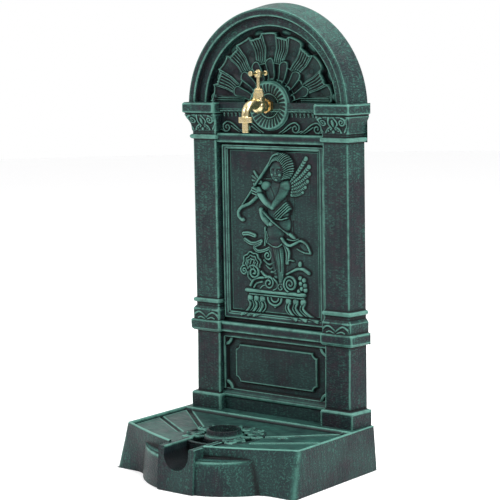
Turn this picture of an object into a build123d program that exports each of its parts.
from build123d import *
import math
import os

# Free-standing garden drinking fountain: an arched cast column on a bow-fronted basin,
# with a brass bib tap fed by a riser pipe inside the hollow column.
# Millimetres.  X is across the front, +Y points to the back, Z is up.
# The origin is on the ground, in the middle of the footprint.

# ---- driving dimensions -------------------------------------------------------------
TOTAL_DEPTH = 308.0
BASE_HALF_WIDTH = 193.5
BASE_HEIGHT = 77.0
WALL = 7.0

BACK = TOTAL_DEPTH / 2          # every depth below is measured forward from this plane


def forward(depth):
    """Y of a place that lies the given depth in front of the back plane."""
    return BACK - depth


# ---- column -------------------------------------------------------------------------
SHAFT_HALF, SHAFT_DEPTH, SHAFT_DRAFT = 168.0, 41.0, 6.0
PLINTH_HALF, PLINTH_DEPTH, PLINTH_TOP = 177.4, 47.7, 105.0
PEDESTAL_DEPTH = 43.0
LEDGE_HALF, LEDGE_DEPTH, LEDGE_BOTTOM, LEDGE_TOP = 177.2, 49.0, 218.0, 238.0
SHAFT_BASE_HALF, SHAFT_BASE_DEPTH, SHAFT_BASE_TOP = 173.0, 46.0, 257.0
ASTRAGAL_HALF, ASTRAGAL_DEPTH, ASTRAGAL_BOTTOM, ASTRAGAL_TOP = 174.3, 43.0, 563.0, 571.0
BELL_HALF, BELL_DEPTH = 174.5, 48.0
ABACUS_HALF, ABACUS_DEPTH, ABACUS_BOTTOM, ABACUS_TOP = 180.7, 56.0, 612.0, 629.0
ARCH_CENTRE, ARCH_RADIUS, ARCH_DEPTH, ARCH_DRAFT = 618.6, 172.7, 47.3, 8.7
ARCH_RING, ARCH_FASCIA, ARCH_STEP = 14.0, 17.0, 11.0

OPENING_HALF = 110.0            # between the blocks of the plinth, ledge and capitals
PANEL_HALF, PANEL_DEPTH = 116.6, 31.0
FIELD_HALF, FIELD_DEPTH, FIELD_BOTTOM, FIELD_TOP = 99.0, 26.0, 250.0, 548.0
FASCIA_DEPTH, FASCIA_BOTTOM = 37.0, 558.0
FRIEZE_DEPTH, FRIEZE_BOTTOM, FRIEZE_TOP = 27.0, 575.0, 613.0
DADO_HALF, DADO_DEPTH, DADO_BOTTOM, DADO_TOP = 112.6, 24.0, 113.0, 209.0
TABLET_HALF, TABLET_DEPTH, TABLET_NOTCH = 90.0, 28.0, 9.0
TABLET_BOTTOM, TABLET_TOP = 128.0, 197.0
BEAD_OUT, BEAD_BOTTOM, BEAD_TOP = 3.2, 270.0, 277.0
PLINTH_BAND_DEPTH = 34.0
LEDGE_BAND_DEPTH = 40.0

BACK_WALL = FIELD_DEPTH - WALL  # depth of the hollow behind the panel
ROSETTE_RADIUS, ROSETTE_DEPTH, ROSETTE_DISH = 43.0, 40.0, 38.0
ROSETTE_FLAT, ROSETTE_RIM = 14.0, 38.0
TAP_POCKET_RADIUS, TAP_POCKET_DEPTH = 36.0, 33.0
CHASE_HALF, CHASE_DEPTH, CHASE_BOTTOM = 16.0, 21.5, 578.0
BOSS_HALF, BOSS_BACK, BOSS_HEIGHT, BOLT_HOLE_DEPTH = 16.0, 8.0, 22.0, 18.0

# ---- basin --------------------------------------------------------------------------
FRONT_DEPTH = 237.7
RIM_HALF, RIM_CORNER_DEPTH, RIM_CENTRE_DEPTH, RIM_WIDTH = 188.0, 213.0, 288.0, 6.0
RIM_ELBOW_HALF, RIM_ELBOW_DEPTH = 130.0, 240.0
APRON_FOOT_RADIUS, APRON_TOP_RADIUS, APRON_TOP = 154.5, 148.5, 57.0
APRON_DEPTH = TOTAL_DEPTH - APRON_FOOT_RADIUS   # depth of the axis of the round apron
TRAY_FLOOR, SEAT_FRONT_DEPTH = 71.0, 62.0
GROOVES = (((181.0, 54.0), (65.0, 157.0)), ((174.0, 137.0), (76.0, 200.0)))   # x, depth of both ends
GROOVE_WIDTH, GROOVE_FLOOR = 8.0, 68.0
DRAIN_DEPTH, SUMP_RADIUS, SUMP_FLOOR = 175.5, 66.0, 43.0
GRATE_RADIUS, GRATE_THICK = 72.0, 5.0
SEAT_UNDERSIDE = TRAY_FLOOR - GRATE_THICK - WALL
COLLAR_RADIUS, COLLAR_BORE, COLLAR_TOP = 30.0, 25.0, 82.0
SLOT_COUNT, SLOT_LENGTH, SLOT_WIDTH, SLOT_PLACE = 10, 30.0, 11.0, 51.0
SPOUT_HALF, SPOUT_CHEEK, SPOUT_FLOOR, SPOUT_TOP, SPOUT_FRONT = 26.0, 12.0, 36.0, 74.0, 300.0
DIMPLE_PLACE, DIMPLE_RADIUS = (100.0, 142.0), 6.0
WASTE_BORE, WASTE_TUBE, WASTE_FLANGE = 13.0, 16.0, 24.0
WASTE_TAIL, WASTE_TAIL_TOP, WASTE_END = 15.5, 22.0, 8.0
WASTE_PLATE, WASTE_NUT_FLATS, WASTE_NUT_HEIGHT = 3.0, 46.0, 8.0

# ---- wall adaptor and tap -----------------------------------------------------------
TAP_Z, TAP_HOLE_RADIUS = 623.7, 9.5
TAP_STEM_DEPTH, OUTLET_DEPTH = 64.0, 101.0
WATERWAY = 5.0                  # radius of the bores that carry the water
ADAPTOR_RADIUS, ADAPTOR_FLATS, ADAPTOR_BACK, ADAPTOR_FRONT = 9.0, 22.0, 18.0, 46.0
SPIGOT_RADIUS, SPIGOT_FRONT = 8.0, 54.0
BACKNUT_FLATS, BACKNUT_THICK, WALL_WASHER_RADIUS, WALL_WASHER_THICK = 25.0, 5.0, 16.0, 1.5
INLET_RADIUS, BULB_RADIUS, NECK_RADIUS = 10.0, 12.5, 10.5
SPOUT_AXIS_Z, SPOUT_BEND, SPOUT_END = 628.0, 20.0, 603.0
SPOUT_START_RADIUS, SPOUT_END_RADIUS, SPOUT_THREAD = 10.5, 6.8, 7.9
SPOUT_BORE_START, SPOUT_BORE_END = 3.2, 4.6
SEAT_Z, SEAT_BORE, CHAMBER_RADIUS = 629.0, 4.0, 8.4
BODY_TOP, BONNET_TOP, GLAND_TOP = 638.0, 648.0, 655.5
BONNET_COLLAR, BONNET_COLLAR_HEIGHT, BONNET_FLATS, BONNET_THREAD = 10.5, 2.5, 17.0, 4.0
STUFFING_RADIUS, STUFFING_HEIGHT, PACKING_RADIUS, PACKING_HEIGHT = 5.9, 4.0, 5.0, 3.0
GLAND_FLATS, GLAND_CAP_RADIUS, GLAND_CAP_HEIGHT = 14.0, 5.5, 2.0
SPINDLE_RADIUS, THREAD_RADIUS, THREAD_PITCH, HANDLE_TURNS = 3.0, 5.0, 3.0, 1.5
LIFT = THREAD_PITCH * HANDLE_TURNS
JUMPER_TOP, JUMPER_RADIUS, JUMPER_PIN, JUMPER_PIN_HEIGHT = SEAT_Z + 5.0, 6.6, 2.0, 4.0
VALVE_WASHER_RADIUS, VALVE_WASHER_THICK, STUD_RADIUS = 6.2, 3.0, 1.6
HUB_BOTTOM, HUB_TOP, HUB_RADIUS = 674.0, 684.5, 6.2
HANDLE_REACH, BAR_RADIUS, DISC_RADIUS, DISC_HALF = 21.0, 2.6, 4.3, 1.8
SQUARE_SIDE, SQUARE_HEIGHT = 4.2, 7.0
SCREW_RADIUS, SCREW_HEAD_RADIUS, SCREW_HEAD_HEIGHT, SCREW_SLOT = 1.2, 3.6, 2.0, 1.0
UNION_BOTTOM, UNION_TOP, UNION_FLATS, UNION_LIP = 598.0, 607.5, 22.4, 1.5
SEAL_RADIUS, NOZZLE_RADIUS, NOZZLE_FLANGE, NOZZLE_BOTTOM = 7.5, 6.0, 2.0, 581.0
RUN = 0.05                      # radial clearance of a running fit
GAP = 0.3                       # clearance between pieces that don't touch

# ---- supply and fixings -------------------------------------------------------------
PIPE_DEPTH, PIPE_RADIUS, PIPE_BORE = 11.0, 6.0, 5.0
PIPE_BOTTOM, PIPE_TOP = 42.0, 611.0
ELBOW_BODY, ELBOW_ARM, ELBOW_THREAD, ELBOW_SOCKET, ELBOW_BORE = 11.0, 8.5, 7.5, 599.0, 4.9
CONNECTOR_FLATS, CONNECTOR_HEX_HEIGHT = 18.0, 8.0
INLET_THREAD_RADIUS, INLET_THREAD_LENGTH, INLET_THREAD_TOP = 10.48, 16.0, 30.0
SOCKET_RADIUS, SOCKET_HEIGHT = 7.5, 14.0
TOP_NUT, BOTTOM_NUT, NUT_FLATS, NUT_HEIGHT, NUT_LIP = 586.0, 46.0, 18.0, 11.0, 3.0
OLIVE_RADIUS, OLIVE_HEIGHT = 7.0, 1.8
CLIP_HEIGHTS, CLIP_SCREW_X = (160.0, 440.0), (-13.0, 13.0)
CLIP_SCREW_RADIUS, CLIP_HOLE_DEPTH, CLIP_HEAD_RADIUS, CLIP_HEAD_HEIGHT = 2.0, 5.0, 3.5, 2.2
CLIP_HALF, CLIP_WIDTH, CLIP_THICK = 18.0, 12.0, 1.2
BOLT_X, BOLT_DEPTHS, BOLT_RADIUS, BOLT_REACH = (-143.0, 143.0), (18.0, 36.0), 4.0, 16.0
WASHER_RADIUS, WASHER_THICK, BOLT_HEAD, BOLT_FLATS = 8.0, 1.6, 5.3, 13.0


# ---- shape helpers ------------------------------------------------------------------
def block(x0, x1, depth0, depth1, z0, z1):
    """Box from corner to corner, with its Y given as depths from the back plane."""
    centre = Pos((x0 + x1) / 2, forward((depth0 + depth1) / 2), (z0 + z1) / 2)
    return centre * Box(x1 - x0, depth1 - depth0, z1 - z0)


def drafted(half_front, depth, z0, z1, draft=SHAFT_DRAFT):
    """Block across the column that is wider at the back plane than at its front."""
    plan = Polygon(
        (-half_front, forward(depth)),
        (half_front, forward(depth)),
        (half_front + draft, BACK),
        (-half_front - draft, BACK),
        align=None,
    )
    return Pos(0, 0, z0) * extrude(plan, z1 - z0)


def upright(radius, depth, z0, z1, x=0.0):
    """Vertical round bar."""
    return Pos(x, forward(depth), (z0 + z1) / 2) * Cylinder(radius, z1 - z0)


def lying(radius, depth0, depth1, z=TAP_Z, x=0.0, top_radius=None):
    """Round bar or cone along Y; top_radius is its radius at the front end."""
    centre = Pos(x, forward((depth0 + depth1) / 2), z) * Rot(90, 0, 0)
    if top_radius is None:
        return centre * Cylinder(radius, depth1 - depth0)
    return centre * Cone(radius, top_radius, depth1 - depth0)


def hexagon(across_flats, height):
    """Hexagonal bar along Z, with two corners on the X axis."""
    return extrude(RegularPolygon(across_flats / math.sqrt(3), 6), height)


def upright_hex(across_flats, depth, z0, z1):
    return Pos(0, forward(depth), z0) * hexagon(across_flats, z1 - z0)


def lying_hex(across_flats, depth0, depth1):
    """Hexagonal bar along Y, with a corner at the top and at the bottom."""
    return Pos(0, forward(depth0), TAP_Z) * Rot(90, 0, 0) * Rot(0, 0, 30) * hexagon(
        across_flats, depth1 - depth0)


# ---- castings -----------------------------------------------------------------------
def arch(radius, depth0, depth1, front_radius=None, floor=ABACUS_TOP):
    """Upper part of a disc or cone about the arch's centre, above the given level."""
    disc = lying(radius, depth0, depth1, ARCH_CENTRE, top_radius=front_radius)
    return disc & block(-300, 300, -1, 100, floor, 900)


def notched_tablet():
    """Raised tablet with a round notch taken out of each corner."""
    tablet = block(-TABLET_HALF, TABLET_HALF, DADO_DEPTH - 2, TABLET_DEPTH, TABLET_BOTTOM, TABLET_TOP)
    for x in (-TABLET_HALF, TABLET_HALF):
        for z in (TABLET_BOTTOM, TABLET_TOP):
            tablet -= lying(TABLET_NOTCH, DADO_DEPTH, TABLET_DEPTH + 1, z, x)
    return tablet


def relief():
    """Flat-backed winged child with a bow, on a scrolled stand."""
    figure = [
        Pos(21, 519) * Circle(22),
        Pos(12, 478) * Ellipse(22, 30),
        Pos(6, 420) * Ellipse(24, 34),
        Pos(-10, 372) * Ellipse(12, 42),
        Pos(14, 350) * Ellipse(10, 46),
        Pos(48, 500) * Rot(0, 0, -25) * Ellipse(13, 42),
        Pos(-24, 505) * Rot(0, 0, 30) * Ellipse(8, 24),
        Pos(-22, 466) * Rot(0, 0, -35) * Ellipse(10, 32),
        Pos(45, 392) * Rot(0, 0, 60) * Ellipse(9, 34),
        Pos(-58, 360) * Circle(22),
        Pos(-5, 309) * Ellipse(52, 16),
        Pos(-5, 296) * Rectangle(104, 7),
        Pos(-48, 275) * Rectangle(30, 40),
        Pos(52, 275) * Rectangle(44, 40),
        Pos(0, 282) * Circle(15),
    ]
    outline = figure[0]
    for shape in figure[1:]:
        outline += shape
    plate = extrude(outline, 8)
    return Pos(0, forward(FIELD_DEPTH - 1), 0) * Rot(90, 0, 0) * plate


def make_column():
    column = drafted(SHAFT_HALF, SHAFT_DEPTH, BASE_HEIGHT, ABACUS_TOP)
    column += arch(ARCH_RADIUS + ARCH_DRAFT, 0, ARCH_DEPTH, ARCH_RADIUS, ABACUS_TOP - 1)
    column += drafted(PLINTH_HALF, PLINTH_DEPTH, BASE_HEIGHT, PLINTH_TOP)
    column += drafted(SHAFT_HALF, PEDESTAL_DEPTH, PLINTH_TOP, LEDGE_BOTTOM)
    column += drafted(LEDGE_HALF, LEDGE_DEPTH, LEDGE_BOTTOM, LEDGE_TOP)
    column += drafted(SHAFT_BASE_HALF, SHAFT_BASE_DEPTH, LEDGE_TOP, SHAFT_BASE_TOP)
    column += drafted(SHAFT_HALF + BEAD_OUT, SHAFT_DEPTH + BEAD_OUT, BEAD_BOTTOM, BEAD_TOP)
    column += drafted(ASTRAGAL_HALF, ASTRAGAL_DEPTH, ASTRAGAL_BOTTOM, ASTRAGAL_TOP)
    column += drafted(BELL_HALF, BELL_DEPTH, ASTRAGAL_TOP, ABACUS_BOTTOM)
    column += drafted(ABACUS_HALF, ABACUS_DEPTH, ABACUS_BOTTOM, ABACUS_TOP)
    front = 100.0
    recesses = [
        (OPENING_HALF, PLINTH_BAND_DEPTH, BASE_HEIGHT, PLINTH_TOP),
        (PANEL_HALF, PANEL_DEPTH, PLINTH_TOP, LEDGE_BOTTOM),
        (DADO_HALF, DADO_DEPTH, DADO_BOTTOM, DADO_TOP),
        (OPENING_HALF, LEDGE_BAND_DEPTH, LEDGE_BOTTOM, LEDGE_TOP),
        (PANEL_HALF, PANEL_DEPTH, LEDGE_TOP, FASCIA_BOTTOM),
        (FIELD_HALF, FIELD_DEPTH, FIELD_BOTTOM, FIELD_TOP),
        (OPENING_HALF, FASCIA_DEPTH, FASCIA_BOTTOM, ABACUS_TOP),
        (OPENING_HALF, FRIEZE_DEPTH, FRIEZE_BOTTOM, FRIEZE_TOP),
    ]
    for half, depth, z0, z1 in recesses:
        column -= block(-half, half, depth, front, z0, z1)
    fascia_radius = ARCH_RADIUS - ARCH_RING
    shell_radius = fascia_radius - ARCH_FASCIA
    column -= arch(fascia_radius, ARCH_DEPTH - ARCH_STEP, front)
    column -= arch(shell_radius, ARCH_DEPTH - 2 * ARCH_STEP, front)
    column += notched_tablet()
    column += relief()
    column += lying(ROSETTE_RADIUS, BACK_WALL, ROSETTE_DEPTH)
    column -= lying(ROSETTE_FLAT, ROSETTE_DISH, ROSETTE_DEPTH + 1, top_radius=ROSETTE_RIM)

    # hollow back, deeper behind the pilasters, behind the tap and for the top of the riser
    inner = SHAFT_HALF - WALL
    column -= block(-inner, inner, -1, BACK_WALL, BASE_HEIGHT - 1, ABACUS_TOP)
    column -= arch(ARCH_RADIUS - WALL, -1, BACK_WALL, floor=ABACUS_TOP - 1)
    for side in (-1, 1):
        near, far = sorted((side * (PANEL_HALF + WALL), side * inner))
        column -= block(near, far, BACK_WALL - 1, SHAFT_DEPTH - WALL, PLINTH_TOP, ABACUS_TOP - WALL)
    column -= block(-CHASE_HALF, CHASE_HALF, BACK_WALL - 1, CHASE_DEPTH, CHASE_BOTTOM, TAP_Z)
    column -= lying(TAP_POCKET_RADIUS, BACK_WALL - 1, TAP_POCKET_DEPTH)
    column -= lying(TAP_HOLE_RADIUS, TAP_POCKET_DEPTH - 1, ROSETTE_DISH + 1)

    # threaded bosses for the bolts that hold the column down, and for the pipe clips
    for x in BOLT_X:
        column += block(x - BOSS_HALF, x + BOSS_HALF, BOSS_BACK, PLINTH_DEPTH - 2, BASE_HEIGHT,
                        BASE_HEIGHT + BOSS_HEIGHT)
        for depth in BOLT_DEPTHS:
            column -= upright(BOLT_RADIUS, depth, BASE_HEIGHT - 1, BASE_HEIGHT + BOLT_HOLE_DEPTH, x)
    for z in CLIP_HEIGHTS:
        for x in CLIP_SCREW_X:
            column -= lying(CLIP_SCREW_RADIUS, BACK_WALL - 1, BACK_WALL + CLIP_HOLE_DEPTH, z, x)
    return column


def rim_plan(inset=0.0):
    """Outline of the basin's rim, or of the tray inside it."""
    half = RIM_HALF - inset
    return Polygon(
        (-half, BACK),
        (-half, forward(RIM_CORNER_DEPTH - inset)),
        (-RIM_ELBOW_HALF, forward(RIM_ELBOW_DEPTH - inset)),
        (0, forward(RIM_CENTRE_DEPTH - inset)),
        (RIM_ELBOW_HALF, forward(RIM_ELBOW_DEPTH - inset)),
        (half, forward(RIM_CORNER_DEPTH - inset)),
        (half, BACK),
        align=None,
    )


def foot_plan(inset=0.0):
    """Outline of the basin on the ground, with the same seven corners as its rim."""
    half = BASE_HALF_WIDTH - inset
    return Polygon(
        (-half, BACK),
        (-half, forward(FRONT_DEPTH - inset)),
        (-RIM_ELBOW_HALF, forward(FRONT_DEPTH + 1 - inset)),
        (0, forward(RIM_CENTRE_DEPTH - inset)),
        (RIM_ELBOW_HALF, forward(FRONT_DEPTH + 1 - inset)),
        (half, forward(FRONT_DEPTH - inset)),
        (half, BACK),
        align=None,
    )


def channel(half, floor, top, depth0, depth1):
    """Round-bottomed trough along Y."""
    return lying(half, depth0, depth1, floor + half) + block(-half, half, depth0, depth1, floor + half, top)


def tray_groove(start, end, mirror):
    """Bar that cuts one drain groove between two places, given as distance from the middle and depth."""
    length = math.dist(start, end)
    heading = math.degrees(math.atan2(end[1] - start[1], end[0] - start[0]))
    middle_x, middle_depth = (start[0] + end[0]) / 2, (start[1] + end[1]) / 2
    bar = Box(length, GROOVE_WIDTH, 20, align=(Align.CENTER, Align.CENTER, Align.MIN))
    place = Pos(mirror * middle_x, forward(middle_depth), GROOVE_FLOOR)
    return place * Rot(0, 0, -mirror * heading) * bar


def make_base():
    base = loft([foot_plan(), Pos(0, 0, BASE_HEIGHT) * rim_plan()], ruled=True)
    apron = Pos(0, forward(APRON_DEPTH), APRON_TOP / 2) * Cone(APRON_FOOT_RADIUS, APRON_TOP_RADIUS, APRON_TOP)
    base += apron & block(-200, 200, 200, 400, 0, 100)
    cheek = SPOUT_HALF + SPOUT_CHEEK
    base += block(-cheek, cheek, 260, SPOUT_FRONT, 0, SPOUT_TOP)

    # tray with its drain grooves, and the sump under the grate
    tray = Pos(0, 0, TRAY_FLOOR) * extrude(rim_plan(RIM_WIDTH), BASE_HEIGHT)
    base -= tray & block(-300, 300, SEAT_FRONT_DEPTH, 400, 0, 200)
    for start, end in GROOVES:
        for mirror in (1, -1):
            base -= tray_groove(start, end, mirror) & tray & block(-300, 300, SEAT_FRONT_DEPTH + 4, 400, 0, 200)
    base -= upright(GRATE_RADIUS + 0.5, DRAIN_DEPTH, TRAY_FLOOR - GRATE_THICK, 100)

    # hollow underside with an even wall, then the sump's own bowl
    hollow = loft([Pos(0, 0, -1) * foot_plan(WALL), Pos(0, 0, SEAT_UNDERSIDE) * rim_plan(WALL)],
                  ruled=True)
    hollow -= block(-300, 300, -1, WALL, -2, 100)
    bowl = upright(SUMP_RADIUS + WALL, DRAIN_DEPTH, SUMP_FLOOR - WALL, 100)
    spout_bed = block(-cheek, cheek, DRAIN_DEPTH + SPOUT_HALF, 400, SPOUT_FLOOR - WALL, 100)
    hollow += upright(APRON_TOP_RADIUS - WALL, APRON_DEPTH, -1, APRON_TOP - WALL) & block(
        -200, 200, 220, 400, -2, 100)
    base -= hollow - bowl - spout_bed
    base -= upright(SUMP_RADIUS, DRAIN_DEPTH, SUMP_FLOOR, 100)
    base -= channel(SPOUT_HALF, SPOUT_FLOOR, 100, DRAIN_DEPTH + 30, 400)
    base -= upright(WASTE_TUBE + RUN, DRAIN_DEPTH, 0, SUMP_FLOOR + 1)
    base -= upright(DIMPLE_RADIUS, DIMPLE_PLACE[1], TRAY_FLOOR - 3, 100, DIMPLE_PLACE[0])

    # bolt holes, the riser's hole and the hose entry in the back wall
    for x in BOLT_X:
        for depth in BOLT_DEPTHS:
            base -= upright(BOLT_RADIUS + 0.5, depth, 50, 100, x)
    base -= upright(PIPE_RADIUS + 3, PIPE_DEPTH, 50, 100)
    base -= block(-30, 30, -1, WALL + 1, -1, SEAT_UNDERSIDE)
    return base


def make_grate():
    """Drain cover: a ring of slots about a collar that a watering can stands on."""
    under = TRAY_FLOOR - GRATE_THICK
    grate = upright(GRATE_RADIUS, DRAIN_DEPTH, under, TRAY_FLOOR)
    grate += upright(COLLAR_RADIUS, DRAIN_DEPTH, under, COLLAR_TOP)
    grate -= upright(COLLAR_BORE, DRAIN_DEPTH, under - 1, COLLAR_TOP + 1)
    slot = extrude(Pos(SLOT_PLACE, 0, 0) * SlotOverall(SLOT_LENGTH, SLOT_WIDTH), 20)
    for index in range(SLOT_COUNT):
        turn = Rot(0, 0, (index + 0.5) * 360 / SLOT_COUNT)
        grate -= Pos(0, forward(DRAIN_DEPTH), under - 5) * turn * slot
    return grate


# ---- waste fitting ------------------------------------------------------------------
def make_waste_body():
    """Flanged tube with a cross bar in its mouth."""
    plate_top = SUMP_FLOOR + WASTE_PLATE
    body = upright(WASTE_FLANGE, DRAIN_DEPTH, SUMP_FLOOR, plate_top)
    body += upright(WASTE_TUBE, DRAIN_DEPTH, WASTE_TAIL_TOP, SUMP_FLOOR)
    body += upright(WASTE_TAIL, DRAIN_DEPTH, WASTE_END, WASTE_TAIL_TOP)
    body -= upright(WASTE_BORE, DRAIN_DEPTH, 0, 60)
    return body + block(-WASTE_BORE, WASTE_BORE, DRAIN_DEPTH - 1.5, DRAIN_DEPTH + 1.5, SUMP_FLOOR, plate_top)


def make_waste_seal():
    under = SUMP_FLOOR - WALL
    seal = upright(WASTE_FLANGE, DRAIN_DEPTH, under - WASTE_PLATE, under)
    return seal - upright(WASTE_TUBE + RUN, DRAIN_DEPTH, 0, 60)


def make_waste_backnut():
    top = SUMP_FLOOR - WALL - WASTE_PLATE
    nut = upright_hex(WASTE_NUT_FLATS, DRAIN_DEPTH, top - WASTE_NUT_HEIGHT, top)
    return nut - upright(WASTE_TUBE + RUN, DRAIN_DEPTH, 0, 60)


# ---- column fixings -----------------------------------------------------------------
def at_bolts(piece):
    """The same piece at every column bolt."""
    copies = []
    for x in BOLT_X:
        for depth in BOLT_DEPTHS:
            copies.append(Pos(x, forward(depth), 0) * piece)
    return Compound(children=copies)


def make_column_washers():
    ring = Cylinder(WASHER_RADIUS, WASHER_THICK) - Cylinder(BOLT_RADIUS + 0.4, WASHER_THICK)
    return at_bolts(Pos(0, 0, SEAT_UNDERSIDE - WASHER_THICK / 2) * ring)


def make_column_bolts():
    under = SEAT_UNDERSIDE - WASHER_THICK
    top = BASE_HEIGHT + BOLT_REACH
    head = Pos(0, 0, under - BOLT_HEAD) * hexagon(BOLT_FLATS, BOLT_HEAD)
    shank = Pos(0, 0, (under + top) / 2) * Cylinder(BOLT_RADIUS - RUN, top - under)
    return at_bolts(head + shank)


# ---- tap ----------------------------------------------------------------------------
def make_wall_adaptor():
    """Hexagon nipple through the casting: tap on the front end, elbow on the back end."""
    body = lying_hex(ADAPTOR_FLATS, ROSETTE_DISH, ADAPTOR_FRONT)
    body += lying(ADAPTOR_RADIUS, ADAPTOR_BACK, ROSETTE_DISH)
    body += lying(SPIGOT_RADIUS, ADAPTOR_FRONT, SPIGOT_FRONT)
    return body - lying(WATERWAY, 10, 60)


def make_wall_washer():
    back = TAP_POCKET_DEPTH - WALL_WASHER_THICK
    return lying(WALL_WASHER_RADIUS, back, TAP_POCKET_DEPTH) - lying(ADAPTOR_RADIUS + RUN, 20, 40)


def make_wall_backnut():
    front = TAP_POCKET_DEPTH - WALL_WASHER_THICK
    return lying_hex(BACKNUT_FLATS, front - BACKNUT_THICK, front) - lying(ADAPTOR_RADIUS + RUN, 20, 40)


def spout_section(radius, along):
    """Round section of the spout; along runs 0..1 over the bend, and below 0 before it."""
    bend_depth = OUTLET_DEPTH - SPOUT_BEND
    if along <= 0:
        centre = (0, forward(bend_depth + along * SPOUT_BEND), SPOUT_AXIS_Z)
        turn = 0.0
    else:
        turn = along * math.pi / 2
        centre = (
            0,
            forward(bend_depth + SPOUT_BEND * math.sin(turn)),
            SPOUT_AXIS_Z - SPOUT_BEND * (1 - math.cos(turn)),
        )
    plane = Plane(origin=centre, x_dir=(1, 0, 0), z_dir=(0, -math.cos(turn), -math.sin(turn)))
    return plane * Circle(radius)


def spout_solid(start, end):
    """Spout from the body round the bend, tapering from one radius to the other."""
    stations = (-0.8, -0.2, 0.15, 0.4, 0.7, 1.0)
    sections = []
    for along in stations:
        share = (along - stations[0]) / (stations[-1] - stations[0])
        sections.append(spout_section(start + (end - start) * share, along))
    return loft(sections)


def make_tap_body():
    """Bib tap: inlet, round body, valve neck above it and the spout bent down in front."""
    body = lying(INLET_RADIUS, ADAPTOR_FRONT, TAP_STEM_DEPTH)
    body += Pos(0, forward(TAP_STEM_DEPTH), TAP_Z) * Sphere(BULB_RADIUS)
    body += upright(NECK_RADIUS, TAP_STEM_DEPTH, TAP_Z, BODY_TOP)
    body += spout_solid(SPOUT_START_RADIUS, SPOUT_END_RADIUS)
    body += upright(SPOUT_THREAD, OUTLET_DEPTH, SPOUT_END, SPOUT_AXIS_Z - SPOUT_BEND)
    body -= lying(SPIGOT_RADIUS + RUN, ADAPTOR_FRONT - 1, SPIGOT_FRONT)
    body -= lying(WATERWAY, SPIGOT_FRONT - 4, TAP_STEM_DEPTH)
    body -= upright(WATERWAY, TAP_STEM_DEPTH, TAP_Z - 5, SEAT_Z - 3)
    body -= upright(SEAT_BORE, TAP_STEM_DEPTH, TAP_Z, SEAT_Z + 1)
    body -= upright(CHAMBER_RADIUS, TAP_STEM_DEPTH, SEAT_Z, BODY_TOP + 1)
    body -= spout_solid(SPOUT_BORE_START, SPOUT_BORE_END) - upright(9, TAP_STEM_DEPTH, 600, SEAT_Z)
    outlet_top = SPOUT_AXIS_Z - SPOUT_BEND + 0.5
    return body - upright(SPOUT_BORE_END, OUTLET_DEPTH, SPOUT_END - 1, outlet_top)


def make_bonnet():
    """Headpart: screws into the body, guides the spindle's thread, holds the packing."""
    collar_top = BODY_TOP + BONNET_COLLAR_HEIGHT
    bonnet = upright(CHAMBER_RADIUS - RUN, TAP_STEM_DEPTH, BODY_TOP - BONNET_THREAD, BODY_TOP)
    bonnet += upright(BONNET_COLLAR, TAP_STEM_DEPTH, BODY_TOP, collar_top)
    bonnet += upright_hex(BONNET_FLATS, TAP_STEM_DEPTH, collar_top, BONNET_TOP)
    bonnet += upright(STUFFING_RADIUS, TAP_STEM_DEPTH, BONNET_TOP, BONNET_TOP + STUFFING_HEIGHT)
    bonnet -= upright(JUMPER_RADIUS + 0.4, TAP_STEM_DEPTH, 600, JUMPER_TOP + LIFT + GAP)
    bonnet -= upright(THREAD_RADIUS + RUN, TAP_STEM_DEPTH, 600, BONNET_TOP - 3)
    bonnet -= upright(SPINDLE_RADIUS + RUN, TAP_STEM_DEPTH, 600, 700)
    return bonnet - upright(PACKING_RADIUS, TAP_STEM_DEPTH, BONNET_TOP, 700)


def make_gland_packing():
    ring = upright(PACKING_RADIUS, TAP_STEM_DEPTH, BONNET_TOP, BONNET_TOP + PACKING_HEIGHT)
    return ring - upright(SPINDLE_RADIUS + RUN, TAP_STEM_DEPTH, 600, 700)


def make_gland_nut():
    """Nut over the stuffing box, with a plug inside it that presses on the packing."""
    cap_bottom = GLAND_TOP - GLAND_CAP_HEIGHT
    stuffing_top = BONNET_TOP + STUFFING_HEIGHT
    nut = upright_hex(GLAND_FLATS, TAP_STEM_DEPTH, BONNET_TOP + GAP, cap_bottom)
    nut += upright(GLAND_CAP_RADIUS, TAP_STEM_DEPTH, cap_bottom, GLAND_TOP)
    nut -= upright(STUFFING_RADIUS + 0.1, TAP_STEM_DEPTH, 600, stuffing_top)
    nut += upright(PACKING_RADIUS, TAP_STEM_DEPTH, BONNET_TOP + PACKING_HEIGHT, stuffing_top)
    return nut - upright(SPINDLE_RADIUS + RUN, TAP_STEM_DEPTH, 600, 700)


def make_valve_washer():
    washer = upright(VALVE_WASHER_RADIUS, TAP_STEM_DEPTH, SEAT_Z + RUN, SEAT_Z + VALVE_WASHER_THICK)
    return washer - upright(STUD_RADIUS, TAP_STEM_DEPTH, 600, 700)


def make_jumper():
    """Loose valve: its pin sits in the spindle, and its disc carries the washer."""
    washer_top = SEAT_Z + VALVE_WASHER_THICK
    jumper = upright(JUMPER_RADIUS, TAP_STEM_DEPTH, washer_top, JUMPER_TOP)
    jumper += upright(JUMPER_PIN, TAP_STEM_DEPTH, JUMPER_TOP, JUMPER_TOP + JUMPER_PIN_HEIGHT)
    return jumper + upright(STUD_RADIUS, TAP_STEM_DEPTH, SEAT_Z + 1, washer_top)


def square(side, height):
    """Square end of the spindle, or the hole for it, in the hub of the handle."""
    return Pos(0, forward(TAP_STEM_DEPTH), HUB_BOTTOM + 1 + SQUARE_HEIGHT / 2) * Box(side, side, height)


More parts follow.
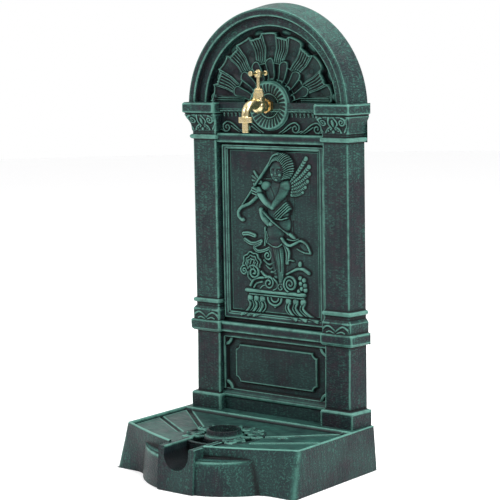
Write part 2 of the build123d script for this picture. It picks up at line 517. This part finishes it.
def make_spindle():
    thread_top = BONNET_TOP - 3.1 - LIFT
    spindle = upright(THREAD_RADIUS, TAP_STEM_DEPTH, JUMPER_TOP + GAP, thread_top)
    spindle += upright(SPINDLE_RADIUS, TAP_STEM_DEPTH, thread_top, HUB_BOTTOM + 1)
    spindle += square(SQUARE_SIDE, SQUARE_HEIGHT)
    spindle -= upright(JUMPER_PIN + RUN, TAP_STEM_DEPTH, 600, JUMPER_TOP + JUMPER_PIN_HEIGHT + GAP)
    return spindle - upright(SCREW_RADIUS + RUN, TAP_STEM_DEPTH, HUB_BOTTOM + 2, HUB_TOP)


def make_handle():
    """T bar with a disc on each end, along Y at rest."""
    bar_z = (HUB_BOTTOM + HUB_TOP) / 2 + 1
    handle = upright(HUB_RADIUS, TAP_STEM_DEPTH, HUB_BOTTOM, HUB_TOP)
    handle += lying(BAR_RADIUS, TAP_STEM_DEPTH - HANDLE_REACH, TAP_STEM_DEPTH + HANDLE_REACH, bar_z)
    for end in (-1, 1):
        middle = TAP_STEM_DEPTH + end * HANDLE_REACH
        handle += lying(DISC_RADIUS, middle - DISC_HALF, middle + DISC_HALF, bar_z)
    handle -= upright(SPINDLE_RADIUS + RUN, TAP_STEM_DEPTH, HUB_BOTTOM - 1, HUB_BOTTOM + 1)
    handle -= square(SQUARE_SIDE + RUN, SQUARE_HEIGHT + RUN)
    return handle - upright(SCREW_RADIUS + 0.4, TAP_STEM_DEPTH, HUB_BOTTOM, HUB_TOP + 1)


def make_handle_screw():
    screw = upright(SCREW_HEAD_RADIUS, TAP_STEM_DEPTH, HUB_TOP, HUB_TOP + SCREW_HEAD_HEIGHT)
    screw += upright(SCREW_RADIUS, TAP_STEM_DEPTH, HUB_BOTTOM + 3, HUB_TOP)
    return screw - block(-SCREW_SLOT / 2, SCREW_SLOT / 2, TAP_STEM_DEPTH - SCREW_HEAD_RADIUS,
                         TAP_STEM_DEPTH + SCREW_HEAD_RADIUS, HUB_TOP + SCREW_HEAD_HEIGHT / 2, HUB_TOP + 3)


def make_union_nut():
    nut = upright_hex(UNION_FLATS, OUTLET_DEPTH, UNION_BOTTOM, UNION_TOP)
    nut -= upright(SPOUT_THREAD + RUN, OUTLET_DEPTH, UNION_BOTTOM + UNION_LIP, UNION_TOP + 1)
    return nut - upright(NOZZLE_RADIUS + 0.1, OUTLET_DEPTH, UNION_BOTTOM - 1, UNION_TOP)


def make_union_seal():
    flange_top = UNION_BOTTOM + UNION_LIP + NOZZLE_FLANGE
    return upright(SEAL_RADIUS, OUTLET_DEPTH, flange_top, SPOUT_END) - upright(
        SPOUT_BORE_END, OUTLET_DEPTH, 590, 610)


def make_nozzle():
    """Straight hose nozzle with the flange that the union nut pulls up."""
    lip_top = UNION_BOTTOM + UNION_LIP
    nozzle = upright(NOZZLE_RADIUS, OUTLET_DEPTH, NOZZLE_BOTTOM, UNION_BOTTOM - 0.5)
    nozzle += upright(NOZZLE_RADIUS - 0.2, OUTLET_DEPTH, UNION_BOTTOM - 0.5, lip_top)
    nozzle += upright(SEAL_RADIUS, OUTLET_DEPTH, lip_top, lip_top + NOZZLE_FLANGE)
    return nozzle - upright(SPOUT_BORE_END, OUTLET_DEPTH, NOZZLE_BOTTOM - 1, 610)


# ---- supply -------------------------------------------------------------------------
def make_tap_elbow():
    elbow = lying(ELBOW_BODY, 4, 26)
    elbow += upright(ELBOW_ARM, PIPE_DEPTH, ELBOW_SOCKET + 1, TAP_Z + 6)
    elbow += upright(ELBOW_THREAD, PIPE_DEPTH, ELBOW_SOCKET - 6, ELBOW_SOCKET + 1)
    elbow -= lying(ADAPTOR_RADIUS + RUN, ADAPTOR_BACK, 30)
    elbow -= lying(WATERWAY, PIPE_DEPTH, 20)
    elbow -= upright(ELBOW_BORE, PIPE_DEPTH, 590, TAP_Z)
    return elbow - upright(PIPE_RADIUS + RUN, PIPE_DEPTH, 590, PIPE_TOP)


def make_inlet_connector():
    """Straight connector: compression socket upwards, 1/2 inch male thread downwards."""
    hex_top = INLET_THREAD_TOP + CONNECTOR_HEX_HEIGHT
    body = upright_hex(CONNECTOR_FLATS, PIPE_DEPTH, INLET_THREAD_TOP, hex_top)
    body += upright(SOCKET_RADIUS, PIPE_DEPTH, hex_top, hex_top + SOCKET_HEIGHT)
    body += upright(INLET_THREAD_RADIUS, PIPE_DEPTH, INLET_THREAD_TOP - INLET_THREAD_LENGTH, INLET_THREAD_TOP)
    body -= upright(PIPE_RADIUS + RUN, PIPE_DEPTH, PIPE_BOTTOM, 70)
    return body - upright(PIPE_BORE, PIPE_DEPTH, 0, 70)


def make_riser_pipe():
    return upright(PIPE_RADIUS, PIPE_DEPTH, PIPE_BOTTOM, PIPE_TOP) - upright(
        PIPE_BORE, PIPE_DEPTH, PIPE_BOTTOM - 1, PIPE_TOP + 1)


def compression_nut(z0, socket_side):
    """Nut round the pipe; its open end faces the fitting, up (+1) or down (-1)."""
    nut = upright_hex(NUT_FLATS, PIPE_DEPTH, z0, z0 + NUT_HEIGHT)
    low, high = (z0 + NUT_LIP, z0 + 20) if socket_side > 0 else (z0 - 20, z0 + NUT_HEIGHT - NUT_LIP)
    nut -= upright(SOCKET_RADIUS + RUN, PIPE_DEPTH, low, high)
    return nut - upright(PIPE_RADIUS + RUN, PIPE_DEPTH, 0, 700)


def make_riser_nuts():
    return Compound(children=[compression_nut(TOP_NUT, 1), compression_nut(BOTTOM_NUT, -1)])


def make_pipe_olives():
    """Soft rings that the nuts squeeze on to the pipe."""
    rings = []
    for z0 in (TOP_NUT + NUT_LIP + 0.2, BOTTOM_NUT + NUT_HEIGHT - NUT_LIP - OLIVE_HEIGHT - 0.2):
        ring = upright(OLIVE_RADIUS, PIPE_DEPTH, z0, z0 + OLIVE_HEIGHT)
        rings.append(ring - upright(PIPE_RADIUS + RUN, PIPE_DEPTH, 0, 700))
    return Compound(children=rings)


def make_pipe_clips():
    """Saddles that hold the riser against the back of the panel."""
    clips = []
    inside = PIPE_RADIUS + RUN
    outside = PIPE_RADIUS + CLIP_THICK
    for z in CLIP_HEIGHTS:
        low, high = z - CLIP_WIDTH / 2, z + CLIP_WIDTH / 2
        outer = upright(outside, PIPE_DEPTH, low, high)
        outer += block(-outside, outside, PIPE_DEPTH, BACK_WALL, low, high)
        inner = upright(inside, PIPE_DEPTH, low - 1, high + 1)
        inner += block(-inside, inside, PIPE_DEPTH, BACK_WALL + 1, low - 1, high + 1)
        feet = block(-CLIP_HALF, CLIP_HALF, BACK_WALL - CLIP_THICK, BACK_WALL, low, high)
        for x in CLIP_SCREW_X:
            feet -= lying(CLIP_SCREW_RADIUS + 0.2, 0, BACK_WALL + 1, z, x)
        clips.append(outer + feet - inner)
    return Compound(children=clips)


def make_clip_screws():
    screws = []
    under_head = BACK_WALL - CLIP_THICK
    for z in CLIP_HEIGHTS:
        for x in CLIP_SCREW_X:
            head = lying(CLIP_HEAD_RADIUS, under_head - CLIP_HEAD_HEIGHT, under_head, z, x)
            shank = lying(CLIP_SCREW_RADIUS - RUN, under_head, BACK_WALL + CLIP_HOLE_DEPTH - 0.5, z, x)
            screws.append(head + shank)
    return Compound(children=screws)


NODES = {
    "column_casting": make_column,
    "base_casting": make_base,
    "drain_grate": make_grate,
    "waste_body": make_waste_body,
    "waste_seal": make_waste_seal,
    "waste_backnut": make_waste_backnut,
    "column_washers": make_column_washers,
    "column_bolts": make_column_bolts,
    "wall_adaptor": make_wall_adaptor,
    "wall_washer": make_wall_washer,
    "wall_backnut": make_wall_backnut,
    "tap_body": make_tap_body,
    "tap_bonnet": make_bonnet,
    "gland_packing": make_gland_packing,
    "gland_nut": make_gland_nut,
    "valve_washer": make_valve_washer,
    "valve_jumper": make_jumper,
    "spindle": make_spindle,
    "tap_handle": make_handle,
    "handle_screw": make_handle_screw,
    "union_nut": make_union_nut,
    "union_seal": make_union_seal,
    "outlet_nozzle": make_nozzle,
    "tap_elbow": make_tap_elbow,
    "inlet_connector": make_inlet_connector,
    "riser_pipe": make_riser_pipe,
    "riser_nuts": make_riser_nuts,
    "pipe_olives": make_pipe_olives,
    "pipe_clips": make_pipe_clips,
    "clip_screws": make_clip_screws,
}

os.makedirs("parts", exist_ok=True)
for name, make in NODES.items():
    export_step(make(), f"parts/{name}.step")
